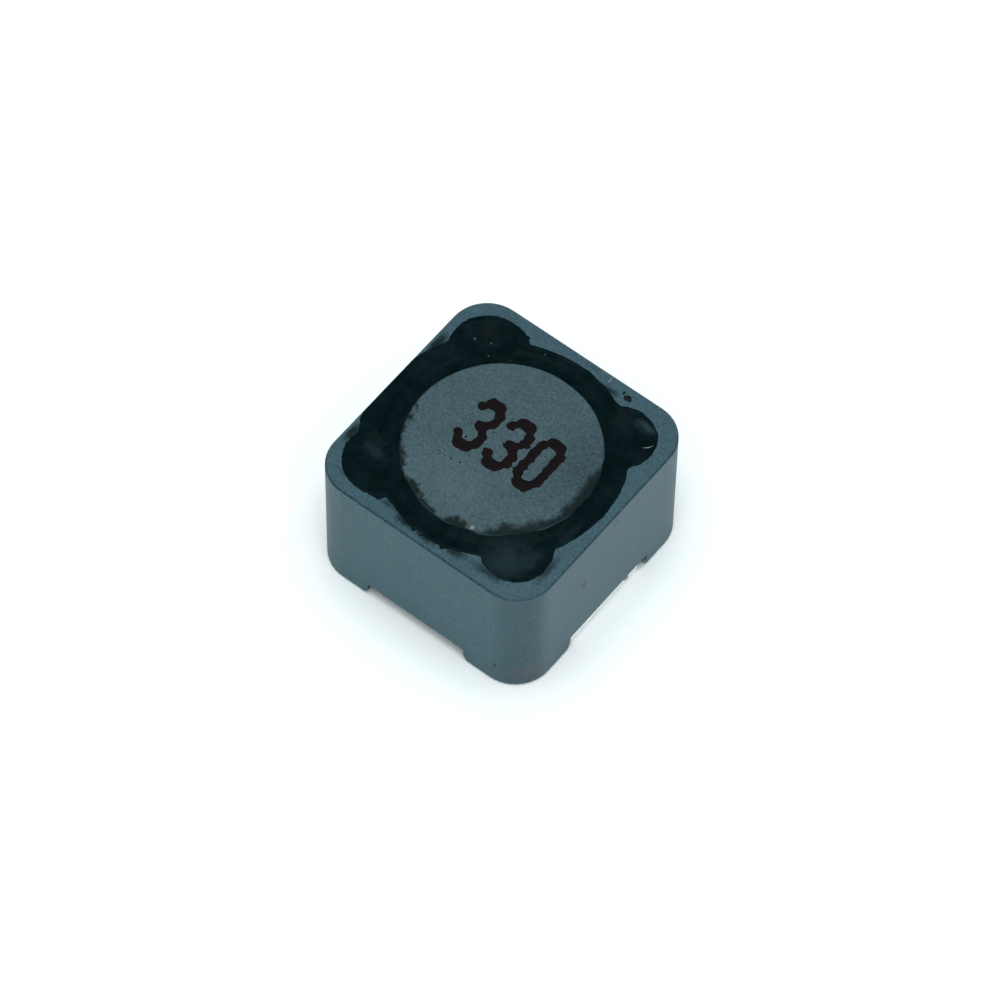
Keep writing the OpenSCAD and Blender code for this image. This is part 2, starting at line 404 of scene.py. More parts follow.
def banded(tree, place, colour, bands):
    """Lays bands over a colour; each is (direction, half width, start, tint, strength, ragged, soft)."""
    for turn, half, start, tint, strength, ragged, soft in bands:
        toward = (math.cos(math.radians(turn)), math.sin(math.radians(turn)), 0)
        band = use(
            tree, band_group,
            Place=place, Toward=toward, Spread=math.cos(math.radians(half)),
            Start=start, Ragged=ragged, Soft=soft,
        )
        cover = calc(tree, "MULTIPLY", band.outputs["Mask"], strength)
        colour = blend(tree, cover, colour, tint)
    return colour


# %% [markdown]
# ## The shield ring
# The ring's top was ground flat and is the bluest face. The two sides above the terminals get a painted
# sheen: their colour is a little paler than the two plain ones', because they show more sheen at a
# slant. The rounded corners get painted shade, a darker colour where less light reaches. The way a face
# points tells them all apart: the upward part of the normal picks the ground top, the part along X the
# sides above the terminals, and where the parts along X and Y are both large there is a corner. The
# broken edges get painted shade too, darker than all of them, and they are the faces that lean about
# half way. The two walls turned away from the lamps get little of their pale sheen, so some of that
# paleness is painted into their colour. A very fine bump from the grain keeps the gloss from looking
# like plastic.

# %% Material: shield ring
def ferrite(tree, shader, grain, colour, strength):
    """Plugs a grainy colour into a ferrite finish, with its fine bump and uneven gloss."""
    bump = bumped(tree, grain.outputs["Height"], strength, 0.02)
    rough = calc(tree, "ADD", calc(tree, "MULTIPLY", grain.outputs["Mask"], 0.16), 0.42)
    wire(tree, shader, Base_Color=colour, Normal=bump, Roughness=rough)


plain_wall = (0.011, 0.084, 0.112)
# painted sheen: the sides above the terminals get a paler colour for the sheen they show at a slant
pale_sheen_wall = (0.033, 0.099, 0.128)
hidden_wall = (0.030, 0.088, 0.112)
# painted shade: the rounded corners get a darker colour where less light reaches them
corner_shade = (0.004, 0.062, 0.086)
ground_top = (0.020, 0.076, 0.103)
# painted shade: the broken edges get a darker colour for the little light they send back
edge_shade = (0.002, 0.020, 0.030)
ring_paint, tree, shader = finish("ring_ferrite", IOR=1.5)
place = use(tree, place_group).outputs["Place"]
normal = put(tree, "ShaderNodeNewGeometry").outputs["Normal"]
facing = put(tree, "ShaderNodeSeparateXYZ", {0: normal}).outputs
along_x = calc(tree, "ABSOLUTE", facing["X"])
along_y = calc(tree, "ABSOLUTE", facing["Y"])
turning = steps(tree, calc(tree, "MULTIPLY", along_x, along_y), 0.02, 0.48)
base = blend(tree, steps(tree, along_x, 0.75, 0.98), plain_wall, pale_sheen_wall)
base = blend(tree, turning, base, corner_shade)
behind = steps(tree, calc(tree, "SUBTRACT", facing["Y"], facing["X"]), 0.1, 0.9)
base = blend(tree, behind, base, hidden_wall)
base = blend(tree, steps(tree, facing["Z"], 0.6, 0.95), base, ground_top)
off_wall = steps(tree, facing["Z"], 0.35, 0.65)
leaning = calc(tree, "SUBTRACT", off_wall, steps(tree, facing["Z"], 0.80, 0.95))
base = blend(tree, calc(tree, "MULTIPLY", leaning, 0.6), base, edge_shade)
base = spotted(tree, place, base, [
    ((4.8, -4.8, ring_top), (2.2, 2.2, 0.5), (0.024, 0.086, 0.117), 0.8, 0.2, 1.0),
    ((5.6, -5.0, 0.9), (1.2, 1.4, 1.3), (0.052, 0.066, 0.082), 0.75, 0.5, 0.9),
    ((4.6, -6.0, 0.8), (1.2, 1.0, 0.9), (0.035, 0.070, 0.092), 0.5, 0.5, 0.9),
])
grain = use(tree, grain_group, Place=place, Base=base, Speckle=0.10, Clouds=0.35)
colour = spotted(tree, place, grain.outputs["Color"], [
    ((6.0, 1.42, 0.88), (0.3, 0.11, 0.10), (0.11, 0.095, 0.040), 0.8, 0.2, 0.6),
    ((6.0, -1.8, 4.30), (0.3, 0.22, 0.6), (0.022, 0.012, 0.012), 0.75, 0.5, 1.0),
    # painted shadow: a dark spot where the end of the gap under the front wall lies in shade
    ((-2.62, -5.95, 0.6), (0.14, 0.3, 0.34), (0.008, 0.003, 0.003), 1.0, 0.2, 0.5),
    ((6.0, -3.0, 0.7), (0.3, 0.5, 0.7), (0.050, 0.045, 0.045), 0.7, 0.5, 0.9),
    ((6.0, -2.1, 5.0), (0.3, 0.3, 0.5), (0.060, 0.075, 0.090), 0.5, 0.6, 0.8),
    ((6.0, 0.45, 6.6), (0.3, 0.25, 0.3), (0.010, 0.050, 0.070), 0.5, 0.6, 0.8),
    ((4.4, -6.1, 1.3), (0.14, 0.3, 0.14), (0.003, 0.012, 0.016), 0.8, 0.3, 0.6),
    ((-2.7, -6.1, 6.9), (0.16, 0.3, 0.16), (0.004, 0.030, 0.040), 0.7, 0.4, 0.7),
    ((0.5, 5.85, ring_top), (0.4, 0.16, 0.3), (0.004, 0.030, 0.042), 0.6, 0.6, 0.8),
    ((1.5, 5.78, ring_top), (0.06, 0.22, 0.3), (0.16, 0.27, 0.32), 0.6, 0.3, 0.7),
])
ferrite(tree, shader, grain, colour, 0.18)
node["shield_ring"].data.materials[0] = ring_paint
print("ring finish has", len(tree.nodes), "nodes")

# %% [markdown]
# ## The drum core
# The drum's top is the same ceramic, lapped but greyer than the ring. It is a little darker
# toward the right and paler toward the front. Near its rim are olive smudges that the potting
# left, and pale chips where the sharp edge broke. All of them are soft spots.

# %% Material: drum core
drum_paint, tree, shader = finish("drum_ferrite", IOR=1.5)
place = use(tree, place_group).outputs["Place"]
base = spotted(tree, place, (0.028, 0.075, 0.093), [
    ((3.8, 1.6, drum_top), (3.2, 4.0, 0.5), (0.009, 0.044, 0.058), 1.0, 0.1, 1.0),
    ((-0.8, -2.8, drum_top), (3.6, 2.2, 0.5), (0.040, 0.092, 0.110), 1.0, 0.2, 1.0),
])
grain = use(tree, grain_group, Place=place, Base=base, Speckle=0.115, Clouds=0.5)
olive = (0.020, 0.034, 0.028)
pale = (0.20, 0.29, 0.31)
yellowish = (0.16, 0.17, 0.10)
colour = spotted(tree, place, grain.outputs["Color"], [
    ((1.5, -4.05, drum_top), (0.7, 0.22, 0.5), olive, 0.7, 0.4, 0.8),
    ((3.0, -3.0, drum_top), (0.9, 0.5, 0.5), olive, 0.6, 0.6, 0.9),
    ((-4.2, 1.7, drum_top), (0.22, 0.3, 0.5), olive, 0.75, 0.6, 0.8),
    ((1.5, -4.0, drum_top), (0.13, 0.16, 0.3), pale, 0.8, 0.35, 0.8),
    ((1.3, -4.15, drum_top), (0.20, 0.07, 0.3), pale, 0.85, 0.2, 0.7),
    ((-1.8, -4.02, drum_top), (0.14, 0.09, 0.3), pale, 0.6, 0.4, 0.8),
    ((-3.5, -2.85, drum_top), (0.10, 0.08, 0.3), pale, 0.6, 0.3, 0.8),
    ((3.3, 2.4, drum_top), (0.05, 0.05, 0.3), yellowish, 0.8, 0.1, 0.7),
    ((2.9, 3.2, drum_top), (0.05, 0.04, 0.3), yellowish, 0.8, 0.1, 0.7),
])
ferrite(tree, shader, grain, colour, 0.2)
node["drum_core"].data.materials[0] = drum_paint
print("drum finish has", len(tree.nodes), "nodes")

# %% [markdown]
# ## Epoxy
# The potting is black epoxy, poured and cured: very dark, with a breath of the blue ferrite under it,
# and never quite even. Its skin went dull, so its shine is turned far down, or the white tent would show
# in it as grey. What little satin sheen it shows is painted: paler patches, most of all in the pocket
# nearest to the front, and a painted highlight along the fold of the blister in the right-hand pocket.
# Tiny painted glints sit in the far pocket. The solid that fills the gap and the adhesive under the ring
# get the same finish.

# %% Material: epoxy
epoxy_paint, tree, shader = finish("black_epoxy", IOR=1.45, Specular_IOR_Level=0.025)
place = use(tree, place_group).outputs["Place"]
cloud = fuzz(tree, place, 1.3, 4.0, 0.6)
peel = fuzz(tree, place, 6.0, 3.0, 0.6)
dark = (0.0010, 0.0068, 0.0080)
less_dark = (0.0042, 0.0128, 0.0152)
colour = blend(tree, steps(tree, cloud, 0.35, 0.75), dark, less_dark)
# painted sheen: the paler patches below stand for the skin's satin sheen
sheen_patch = (0.017, 0.034, 0.041)
# painted glints: tiny bright specks in the far pocket
glint_speck = (0.35, 0.46, 0.48)
colour = spotted(tree, place, colour, [
    ((3.6, -4.5, ring_top - 0.3), (1.6, 1.5, 1.0), sheen_patch, 0.85, 0.25, 1.0),
    ((4.4, -3.6, ring_top - 0.3), (0.9, 0.9, 1.0), sheen_patch, 0.5, 0.4, 0.9),
    ((5.0, -1.6, ring_top - 0.2), (0.35, 1.3, 1.0), sheen_patch, 0.4, 0.4, 0.9),
    # painted highlight along the blister's fold
    ((4.15, 4.8, ring_top - 0.1), (0.8, 0.32, 1.0), (0.026, 0.050, 0.060), 0.9, 0.3, 1.0),
    ((-4.4, -3.4, ring_top - 0.3), (0.9, 0.5, 1.0), sheen_patch, 0.45, 0.5, 0.9),
    ((-4.6, 3.9, ring_top - 0.35), (0.04, 0.08, 0.4), glint_speck, 0.7, 0.4, 1.0),
    ((-3.9, 4.2, ring_top - 0.35), (0.08, 0.03, 0.4), glint_speck, 0.45, 0.4, 1.0),
    ((-3.6, 3.6, ring_top - 0.35), (0.05, 0.04, 0.4), glint_speck, 0.45, 0.3, 0.9),
    ((-2.6, 3.9, ring_top - 0.25), (0.06, 0.03, 0.4), glint_speck, 0.4, 0.3, 0.9),
    ((-1.6, 5.1, ring_top - 0.2), (0.08, 0.02, 0.4), glint_speck, 0.4, 0.3, 0.9),
])
rough = calc(tree, "ADD", calc(tree, "MULTIPLY", cloud, 0.35), 0.16)
wire(tree, shader, Base_Color=colour, Roughness=rough, Normal=bumped(tree, peel, 0.35, 0.05))
for name in ("potting", "terminal_bond_left", "terminal_bond_right"):
    node[name].data.materials[0] = epoxy_paint
print("epoxy finish has", len(tree.nodes), "nodes")

# %% [markdown]
# ## Tin and solder
# The terminals are tinned: pale, bright, faintly streaked along the strip. The solder is the
# same metal gone dull and wavy. One function makes both, because they differ only in numbers.

# %% Materials: tin and solder
def tin(name, colour, low, high, stretch, lumps):
    """Tin in a given mood: its roughness runs from low to high, in streaks or blotches."""
    material, tree, shader = finish(name, Metallic=1.0)
    place = use(tree, place_group).outputs["Place"]
    streaky = put(tree, "ShaderNodeMapping", {"Vector": place, "Scale": stretch}).outputs[0]
    streak = fuzz(tree, streaky, 5.0, 3.0, 0.6)
    wavy = fuzz(tree, place, 3.5, 2.0, 0.5)
    dull = tuple(0.72 * v for v in colour)
    shade = blend(tree, steps(tree, streak, 0.35, 0.75), colour, dull)
    rough = calc(tree, "ADD", calc(tree, "MULTIPLY", streak, high - low), low)
    wire(tree, shader, Base_Color=shade, Roughness=rough, Normal=bumped(tree, wavy, lumps, 0.03))
    return material


tin_paint = tin("tinned_copper", (0.93, 0.94, 0.94), 0.16, 0.42, (3.0, 0.4, 3.0), 0.3)
solder_paint = tin("solder", (0.70, 0.71, 0.70), 0.28, 0.55, (1.0, 1.0, 1.0), 0.8)
for side in ("left", "right"):
    node[f"terminal_{side}"].data.materials[0] = tin_paint
    node[f"solder_joint_{side}"].data.materials[0] = solder_paint
print("metals:", tin_paint.name, "and", solder_paint.name)

# %% [markdown]
# ## Enamelled wire
# The coil is wound from copper under a brown enamel. A patchy copper colour with a clear coat
# over it gives that look, and the metal is held a little short of a full mirror, because the
# enamel scatters some of the light.

# %% Material: enamelled wire
wire_paint, tree, shader = finish(
    "enamelled_copper", Metallic=0.75, Coat_Weight=0.8, Coat_Roughness=0.12,
)
place = use(tree, place_group).outputs["Place"]
patch = fuzz(tree, place, 2.5, 3.0, 0.6)
colour = blend(tree, steps(tree, patch, 0.35, 0.7), (0.36, 0.12, 0.035), (0.22, 0.060, 0.020))
rough = calc(tree, "ADD", calc(tree, "MULTIPLY", patch, 0.2), 0.22)
wire(tree, shader, Base_Color=colour, Roughness=rough)
node["winding"].data.materials[0] = wire_paint
print("wire finish:", wire_paint.name)

# %% [markdown]
# ## Growing a sheet from a formula
# The epoxy's skin and the ink are thin things with ragged outlines. Drawing such an outline by
# hand takes hundreds of points. It is easier to say with a formula where the stuff is: a
# field that is above zero inside and below zero outside. This function lays a fine square
# grid over the field, keeps the cells inside, and cuts the cells on the border exactly where
# the field passes zero, which is the method known as marching squares.

# %% Sheet from a field
def sheet(name, field, height, low, high, step):
    """Mesh over all places where field(x, y) > 0, at height(x, y), from arrays in millimetres."""
    xs = np.arange(low[0], high[0] + step, step)
    ys = np.arange(low[1], high[1] + step, step)
    value = field(*np.meshgrid(xs, ys, indexing="ij"))
    inside = value > 0
    points = []
    number = {}

    def corner(i, j):
        if (i, j) not in number:
            number[i, j] = len(points)
            points.append((xs[i], ys[j]))
        return number[i, j]

    def crossing(a, b):
        a, b = min(a, b), max(a, b)
        if (a, b) not in number:
            number[a, b] = len(points)
            share = value[a] / (value[a] - value[b])
            across = xs[a[0]] + share * (xs[b[0]] - xs[a[0]])
            along = ys[a[1]] + share * (ys[b[1]] - ys[a[1]])
            points.append((across, along))
        return number[a, b]

    touched = inside[:-1, :-1] | inside[1:, :-1] | inside[1:, 1:] | inside[:-1, 1:]
    faces = []
    for i, j in zip(*np.nonzero(touched)):
        loop = [(i, j), (i + 1, j), (i + 1, j + 1), (i, j + 1)]
        face = []
        for here, there in zip(loop, loop[1:] + loop[:1]):
            if inside[here]:
                face.append(corner(*here))
            if inside[here] != inside[there]:
                face.append(crossing(here, there))
        faces.append(face)
    points = np.array(points)
    z = height(points[:, 0], points[:, 1])
    mesh = bpy.data.meshes.new(name)
    mesh.from_pydata([(x * MM, y * MM, h * MM) for (x, y), h in zip(points, z)], [], faces)
    mesh.validate()
    mesh.shade_smooth()
    made = bpy.data.objects.new(name, mesh)
    bpy.context.scene.collection.objects.link(made)
    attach(made, "root")
    print(f"{name}: {len(points)} points, {len(faces)} faces")
    return made


print("sheets are cut from a square grid")

# %% [markdown]
# Three small helpers write such fields: a smooth noise that stirs borders and surfaces, the
# larger of two fields with a rounded joint between them, and a round hill for lumps and folds.
# The noise looks its values up in a seeded table, so it comes out the same each time.

# %% Noise, joints and hills
def ripple(x, y, size, seed):
    """Smooth random field from -1 to 1 with bumps of about this size, fixed by its seed."""
    table = np.random.default_rng(seed).uniform(-1, 1, (64, 64))
    u, v = np.asarray(x) / size + 100, np.asarray(y) / size + 100
    i, j = np.floor(u).astype(int), np.floor(v).astype(int)
    u, v = u - i, v - j
    u, v = u * u * (3 - 2 * u), v * v * (3 - 2 * v)
    low = table[i % 64, j % 64] * (1 - u) + table[(i + 1) % 64, j % 64] * u
    high = table[i % 64, (j + 1) % 64] * (1 - u) + table[(i + 1) % 64, (j + 1) % 64] * u
    return low * (1 - v) + high * v


def either(a, b, soft):
    """Larger of two fields, with the corner between them rounded."""
    return 0.5 * (a + b + np.sqrt((a - b) ** 2 + soft * soft))


def bulge(x, y, middle, reach, turn=0.0):
    """Round hill of height 1 over an oval, nothing outside it."""
    c, s = math.cos(math.radians(turn)), math.sin(math.radians(turn))
    u, v = x - middle[0], y - middle[1]
    far = ((c * u + s * v) / reach[0]) ** 2 + ((c * v - s * u) / reach[1]) ** 2
    return np.clip(1 - far, 0, None) ** 2


print(f"top of a hill: {bulge(0.0, 0.0, (0, 0), (1, 1)):.1f}")

# %% [markdown]
# ## The skin of the potting
# Between drum and ring the epoxy sagged as it cured. It climbs both walls, lies lowest in the
# pockets and is never quite smooth: there is a blister in one pocket, folds in another, and
# along one side it ran over the ring's top to the edge. The outline is a field made of circles,
# one for the bore and one for each pocket, joined softly and stirred with noise.

# %% Outline of the skin
BORE_R = 5.57
POCKET_R = 1.58
POCKET_AT = 3.712
RUN_R = 6.02
RUN_BORDER = -2.6
left_pockets = [(-POCKET_AT, POCKET_AT), (-POCKET_AT, -POCKET_AT)]
pockets = [(POCKET_AT, POCKET_AT), *left_pockets, (POCKET_AT, -POCKET_AT)]


def lobes(x, y):
    """Inside of the bore and its pockets: distance to the nearest wall, roughly."""
    field = BORE_R - np.hypot(x, y)
    for px, py in pockets:
        field = either(field, POCKET_R - np.hypot(x - px, y - py), 0.12)
    return field


def skin_field(x, y):
    """Where the epoxy's skin lies: the lobes, the run over the left side, and ragged borders."""
    r = np.hypot(x, y)
    stir = 0.035 * ripple(x, y, 0.45, 3) + 0.025 * ripple(x, y, 0.16, 4)
    outer = lobes(x, y) + stir
    side = RUN_R - r + 0.42 * bulge(x, y, (-5.4, -2.0), (1.8, 2.6))
    run = np.minimum(side, RUN_BORDER - x)
    for px, py in left_pockets:
        run = either(run, POCKET_R + 0.2 - np.hypot(x - px, y - py), 0.2)
    run = np.minimum(run + 1.6 * stir, x + body_half - 0.06)
    outer = np.maximum(outer, run)
    ragged = 0.22 * bulge(x, y, (0.5, -5.6), (1.9, 0.9)) * (ripple(x, y, 0.22, 8) + 0.4)
    inner = r - flange_r + 0.03 + 0.05 * ripple(x, y, 0.5, 5)
    return np.minimum(outer + ragged, inner)


print(len(pockets), "pockets round a bore of", BORE_R, "mm radius")

# %% [markdown]
# The height starts from the solids below: a ray dropped at each point finds them, and the skin lies a
# hair above, so it can't sink into what it covers. Away from the walls it sags, noise makes it lumpy,
# and a few listed hills are its blister and its folds.

# %% Potting skin
SAG = 0.40
SAG_REACH = 0.55
depsgraph = bpy.context.evaluated_depsgraph_get()
below = [BVHTree.FromObject(node[name], depsgraph) for name in ("shield_ring", "drum_core", "potting")]
FOLDS = [
    (0.34, (4.05, 4.85), (0.85, 0.36), -12),
    (0.16, (4.75, 3.95), (0.34, 0.55), -25),
    (0.10, (-4.6, 4.0), (0.5, 0.35), 30),
    (0.08, (-3.9, 4.3), (0.35, 0.25), 0),
    (0.10, (-4.3, -3.2), (0.9, 0.25), 35),
    (0.08, (-3.6, -4.4), (0.8, 0.22), -20),
    (0.07, (4.2, -3.9), (1.0, 0.5), -45),
    (0.05, (4.7, -1.6), (0.35, 1.2), 15),
]


def solid_below(x, y):
    """Height of the highest solid under each point, in millimetres."""
    out = np.empty(len(x))
    for k, (px, py) in enumerate(zip(x, y)):
        start = Vector((px * MM, py * MM, 0.02))
        hits = [t.ray_cast(start, Vector((0, 0, -1)))[0] for t in below]
        out[k] = max(h.z for h in hits if h) / MM
    return out


def skin_height(x, y):
    """Height of the skin: sunk between the walls, with lumps and folds, above every solid."""
    wall = np.maximum(np.minimum(lobes(x, y), np.hypot(x, y) - flange_r), 0)
    sunk = SAG * (1 - np.exp(-wall / SAG_REACH))
    lumps = 0.018 * ripple(x, y, 0.9, 11) + 0.009 * ripple(x, y, 0.38, 12)
    lumps += 0.004 * ripple(x, y, 0.15, 13)
    folds = sum(rise * bulge(x, y, middle, reach, turn) for rise, middle, reach, turn in FOLDS)
    free = ring_top + 0.01 - sunk + (lumps + folds) * np.clip(wall / 0.25, 0, 1)
    rim = np.clip(skin_field(x, y) / 0.12, 0, 1)
    film = 0.016 * np.sqrt(rim) * (1 + 0.5 * ripple(x, y, 0.4, 14)) + 0.002
    return np.maximum(free, solid_below(x, y) + film)


skin = sheet("potting_skin", skin_field, skin_height, (-6.1, -6.1), (6.1, 6.1), 0.06)
skin.data.materials.append(epoxy_paint)

# %% [markdown]
# ## Film on the rim
# Epoxy crept over the drum's rim as a skin far thinner than a hair. Such a film is black and
# dull. Painted on the ferrite it would keep the ferrite's pale sheen and come out grey, so it
# is a thin mesh of its own with hardly any shine. Its soft, ragged end is done with Alpha, from
# the edge bands: a grey of 1 covers, a grey of 0 lets the ferrite through.

# %% Rim film
FILM_LIFT = 0.004


def grey(level):
    """The same amount in all three channels, for a mask that is mixed like a colour."""
    return (level, level, level)


def film_finish(name, bands, spots):
    """Dull black finish that covers where its bands and spots say."""
    paint, tree, shader = finish(name, IOR=1.45, Specular_IOR_Level=0.08)
    place = use(tree, place_group).outputs["Place"]
    cover = spotted(tree, place, banded(tree, place, grey(0), bands), spots)
    shade = blend(tree, fuzz(tree, place, 2.0), (0.004, 0.012, 0.014), (0.010, 0.020, 0.020))
    wire(tree, shader, Base_Color=shade, Alpha=cover)
    return paint


def film_field(x, y):
    """A ring along the drum's rim."""
    r = np.hypot(x, y)
    return np.minimum(flange_r - 0.015 - r, r - 3.3)


def film_height(x, y):
    """Just above the drum's top."""
    return np.full_like(x, drum_top + FILM_LIFT)


film = sheet("rim_film", film_field, film_height, (-4.6, -4.6), (4.6, 4.6), 0.1)
film.data.materials.append(film_finish("rim_film", [
    (320, 38, 3.74, grey(0.70), 1.0, 0.30, 0.60),
    (2, 38, 3.84, grey(0.85), 1.0, 0.16, 0.50),
    (281, 14, 4.02, grey(0.80), 1.0, 0.30, 0.30),
    (252, 28, 4.12, grey(0.86), 1.0, 0.30, 0.30),
    (222, 24, 4.20, grey(0.80), 1.0, 0.30, 0.30),
    (197, 20, 4.16, grey(0.82), 1.0, 0.35, 0.35),
    (172, 16, 4.32, grey(0.55), 1.0, 0.25, 0.25),
], [
    ((2.65, -3.1, drum_top), (0.34, 0.30, 0.5), grey(0.7), 1.0, 0.6, 0.8),
    ((-1.95, -3.85, drum_top), (0.5, 0.24, 0.5), grey(0.8), 1.0, 0.6, 0.8),
    ((0.7, -4.1, drum_top), (0.3, 0.3, 0.5), grey(0.8), 1.0, 0.6, 0.8),
    ((1.5, -4.0, drum_top), (0.2, 0.2, 0.5), grey(0.0), 1.0, 0.4, 0.7),
]))

# %% [markdown]
# ## Smears on the ring
# The ring's flat top got the same film where epoxy was dragged over the mouth of the bore. It
# is softer than the border of the potting itself, and hides how sharp that one is. One flat
# mesh covers the ring's top, and the finish shows it only where the smears are.

# %% Ring smears
SMEAR_LIFT = 0.003


def smear_field(x, y):
    """The ring's flat top: outside the lobes and inside the broken edges."""
    edges = np.minimum(body_half - 0.16 - np.abs(x), body_half - 0.1 - np.abs(y))
    return np.minimum(0.04 - lobes(x, y), edges)


def smear_height(x, y):
    """Just above the ring's top."""
    return np.full_like(x, ring_top + SMEAR_LIFT)


smears = sheet("ring_smears", smear_field, smear_height, (-6.0, -6.0), (6.0, 6.0), 0.08)
smears.data.materials.append(film_finish("smear_film", [], [
    ((-2.0, -5.30, ring_top), (0.9, 0.25, 0.5), grey(0.35), 1.0, 0.35, 1.0),
    ((-0.9, -5.55, ring_top), (0.8, 0.35, 0.5), grey(0.75), 1.0, 0.4, 1.0),
    ((0.3, -5.60, ring_top), (0.9, 0.35, 0.5), grey(0.75), 1.0, 0.4, 1.0),
    ((1.6, -5.40, ring_top), (0.9, 0.35, 0.5), grey(0.65), 1.0, 0.35, 1.0),
    ((1.8, 5.35, ring_top), (0.8, 0.22, 0.5), grey(0.5), 1.0, 0.4, 1.0),
    ((-5.65, 2.5, ring_top), (0.4, 1.0, 0.5), grey(0.8), 1.0, 0.25, 1.0),
    ((-5.65, -3.4, ring_top), (0.35, 0.9, 0.5), grey(0.75), 1.0, 0.25, 1.0),
    ((-4.4, -5.2, ring_top), (0.9, 0.20, 0.5), grey(0.35), 1.0, 0.3, 1.0),
    ((3.4, -5.35, ring_top), (1.2, 0.3, 0.5), grey(0.5), 1.0, 0.3, 1.0),
    ((5.35, -3.6, ring_top), (0.3, 1.2, 0.5), grey(0.5), 1.0, 0.3, 1.0),
]))

# %% [markdown]
# ## Black marks
# Small drops of the same epoxy sit on the walls and on the ring's top. One black oval on the right wall
# is painted shadow, where the end of the gap under that wall lies in shade. Each is an oval with a
# stirred border. The sheet function only makes meshes that lie flat, so the marks on the walls are
# turned upright afterwards, by a matrix that swaps the axes.

# %% Black marks
black_paint, tree, shader = finish("black_spots", IOR=1.45, Specular_IOR_Level=0.05)
place = use(tree, place_group).outputs["Place"]
shade = blend(tree, fuzz(tree, place, 4.0), (0.002, 0.003, 0.004), (0.009, 0.006, 0.007))
wire(tree, shader, Base_Color=shade)
LYING = Matrix.Identity(4)
FACING_RIGHT = Matrix(((0, 0, 1, 0), (1, 0, 0, 0), (0, 1, 0, 0), (0, 0, 0, 1)))
FACING_FRONT = Matrix(((1, 0, 0, 0), (0, 0, -1, 0), (0, 1, 0, 0), (0, 0, 0, 1)))
MARK_MARGIN = 0.45
MARK_LIFT = 0.003
body_depth_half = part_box("shield_ring")[1].y / MM


def far_from(middle, reach, u, v):
    """0 in the middle of an oval, 1 on its border."""
    return np.hypot((u - middle[0]) / reach[0], (v - middle[1]) / reach[1])


marks = [
    # painted shadow: a black oval where the end of the gap under the right wall lies in shade
    ("gap_end_shadow", FACING_RIGHT, body_half, (2.80, 0.64), (0.09, 0.12)),
    ("wall_speck", FACING_FRONT, body_depth_half, (4.4, 1.3), (0.045, 0.045)),
    ("top_dot", LYING, ring_top, (2.7, 5.5), (0.20, 0.15)),
    ("top_speck", LYING, ring_top, (2.38, 5.62), (0.07, 0.09)),
]
for name, turn, level, middle, reach in marks:
    patch = sheet(
        name,
        lambda u, v: 1 - far_from(middle, reach, u, v) + 0.35 * ripple(u, v, 0.07, 31),
        lambda u, v: np.full_like(u, level + MARK_LIFT),
        (middle[0] - MARK_MARGIN, middle[1] - MARK_MARGIN),
        (middle[0] + MARK_MARGIN, middle[1] + MARK_MARGIN),
        0.02,
    )
    patch.data.transform(turn)
    patch.data.materials.append(black_paint)

# %% [markdown]
# ## A bristle in a pocket
# A curved bristle lies stuck in the epoxy of the right-hand pocket. It is the strip within a
# hair of a circle, cut off softly at both ends, and it lies on the skin.

# %% Whisker
WHISKER_MIDDLE = (4.32, 4.62)
WHISKER_R = 0.83


def whisker_field(x, y):
    """Thin arc, thinner toward its ends."""
    along = np.clip((y - 3.84) / 0.2, 0, 1) * np.clip((4.32 - y) / 0.2, 0, 1)
    off = np.abs(np.hypot(x - WHISKER_MIDDLE[0], y - WHISKER_MIDDLE[1]) - WHISKER_R)
    return np.where(x > 4.6, 0.020 * along - off - 0.002, -1)


def whisker_height(x, y):
    """Just above the skin."""
    return skin_height(x, y) + 0.012


whisker = sheet("whisker", whisker_field, whisker_height, (4.4, 3.6), (5.3, 4.5), 0.012)
whisker_paint, tree, shader = finish("pale_bristle", Roughness=0.6)
place = use(tree, place_group).outputs["Place"]
shade = blend(tree, fuzz(tree, place, 6.0), (0.10, 0.15, 0.16), (0.34, 0.42, 0.43))
wire(tree, shader, Base_Color=shade)
whisker.data.materials.append(whisker_paint)

# %% [markdown]
# ## Flux and tin on a terminal
# On the right-hand terminal sit a bead of amber flux, left from soldering the wire end, and a
# short ridge of tin beside it. Both are domes on the strip's outer face: round sheets whose
# height falls off toward the border, turned upright.

# %% Flux bead and tin ridge
flux_paint, tree, shader = finish("amber_flux", IOR=1.5, Roughness=0.25)
place = use(tree, place_group).outputs["Place"]
shade = blend(tree, fuzz(tree, place, 7.0), (0.16, 0.12, 0.045), (0.42, 0.38, 0.20))
wire(tree, shader, Base_Color=shade)
strip_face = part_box("terminal_right")[1].x / MM
beads = [
    ("flux_bead", (1.50, 0.52), (0.19, 0.15), 0.13, flux_paint),
    ("tin_ridge", (1.98, 0.56), (0.26, 0.09), 0.07, tin_paint),
]
for name, middle, reach, rise, paint in beads:
    def dome(u, v):
        """Round top over the strip's outer face."""
        return strip_face - 0.01 + rise * np.sqrt(np.clip(1.1 - far_from(middle, reach, u, v), 0, 1))

    bead = sheet(
        name,
        lambda u, v: 1 - far_from(middle, reach, u, v) + 0.1 * ripple(u, v, 0.08, 41),
        dome,
        (middle[0] - 0.4, middle[1] - 0.25), (middle[0] + 0.4, middle[1] + 0.25), 0.02,
    )
    bead.data.transform(FACING_RIGHT)
    bead.data.materials.append(paint)

# %% [markdown]
# ## The value mark
# The drum's top is marked by an ink jet printer: each digit is a small grid of drops, five
# wide and seven high, that run together into thick wobbly strokes. So the digits are drawn the
# same way, from rows of dots. The field adds the drops up as soft hills: where two are near,
# their sum bridges the gap. The number is a plain stand-in.

